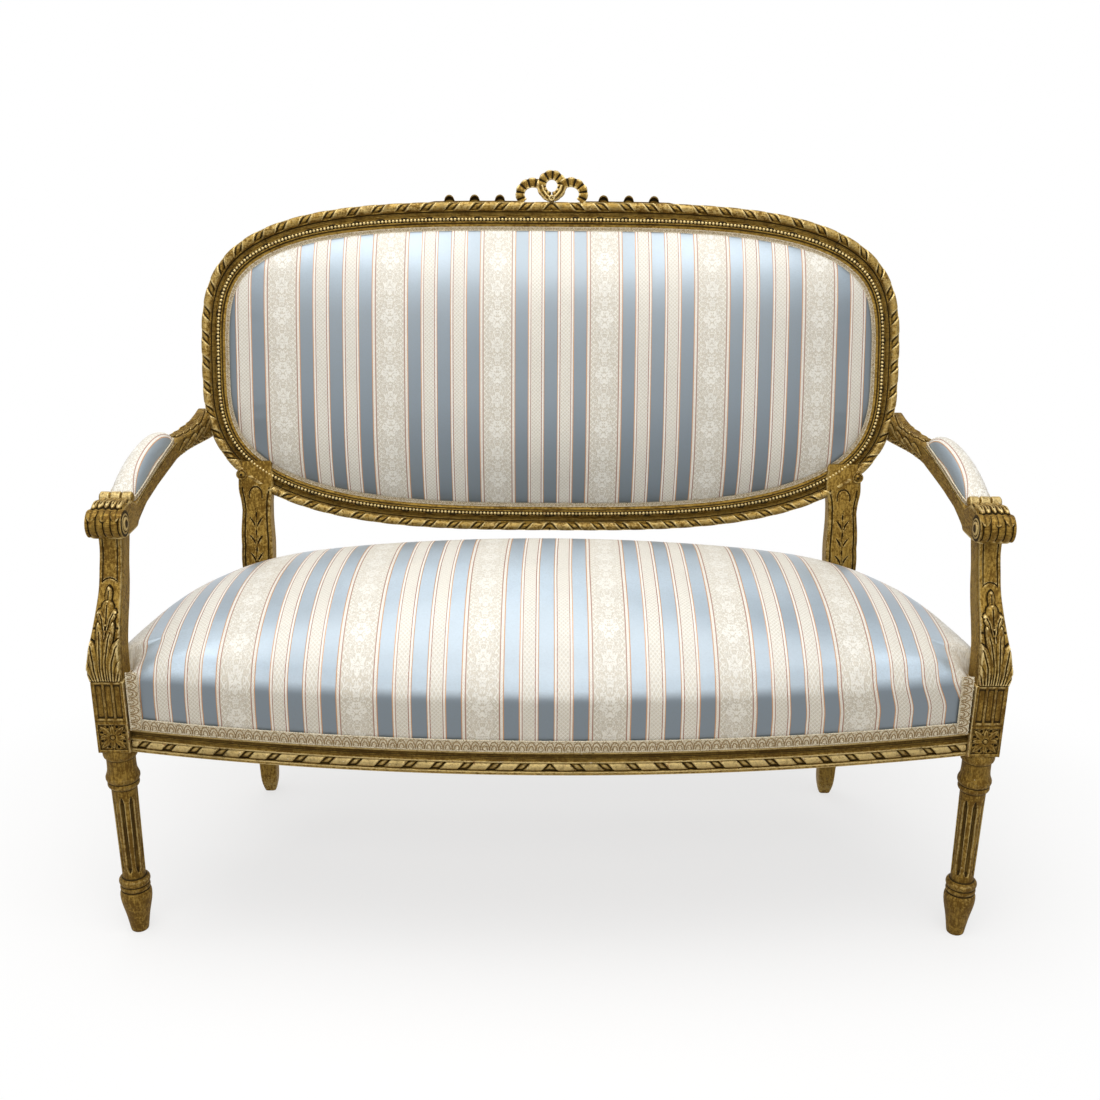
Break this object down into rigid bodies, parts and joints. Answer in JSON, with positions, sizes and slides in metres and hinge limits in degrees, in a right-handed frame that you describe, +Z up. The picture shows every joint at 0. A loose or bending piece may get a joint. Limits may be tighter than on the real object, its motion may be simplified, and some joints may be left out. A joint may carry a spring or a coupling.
{
  "type": "settee",
  "caption": "Two-seat settee with an oval medallion back, bow crest, scroll arms, turned fluted front legs and a bowed sprung seat in striped damask",
  "frame": {"origin": "on the floor, at the middle of the overall length and depth", "axes": "+X along the seat to the sitter's left as seen from the front, +Y towards the back, +Z up"},
  "size_m": [1.282, 0.6153, 1.0772],
  "materials": {
    "giltwood": "carved beech, water-gilt over bole, rubbed and darkened in the hollows",
    "beech": "bare planed wood",
    "damask": "satin stripe and tone-on-tone damask in blue and cream",
    "gimp": "woven scroll braid",
    "jute": "plain woven jute",
    "horsehair": "matted curled hair",
    "spring_steel": "coppered wire, dull"
  },
  "bodies": {
    "root": {"front_leg_left": "giltwood", "front_leg_right": "giltwood", "rear_leg_left": "giltwood", "rear_leg_right": "giltwood", "front_rail": "giltwood", "rear_rail": "giltwood", "side_rail_left": "giltwood", "side_rail_right": "giltwood", "seat_brace": "beech", "corner_blocks": "beech", "arm_support_left": "giltwood", "arm_support_right": "giltwood", "arm_left": "giltwood", "arm_right": "giltwood", "joint_dowels": "beech", "back_crest_rail": "giltwood", "back_lower_rail": "giltwood", "back_side_left": "giltwood", "back_side_right": "giltwood", "crest_bow": "giltwood", "crest_ribbon_left": "giltwood", "crest_ribbon_right": "giltwood", "back_hessian": "jute", "back_stuffing": "horsehair", "back_cover": "damask", "back_gimp": "gimp", "back_outer_cover": "damask", "back_outer_gimp": "gimp", "seat_webbing": "jute", "seat_springs": "spring_steel", "seat_hessian": "jute", "seat_stuffing": "horsehair", "seat_cover": "damask", "seat_gimp": "gimp", "arm_pad_left": "horsehair", "arm_pad_right": "horsehair", "arm_cover_left": "damask", "arm_cover_right": "damask", "arm_gimp_left": "gimp", "arm_gimp_right": "gimp"}
  },
  "joints": []
}
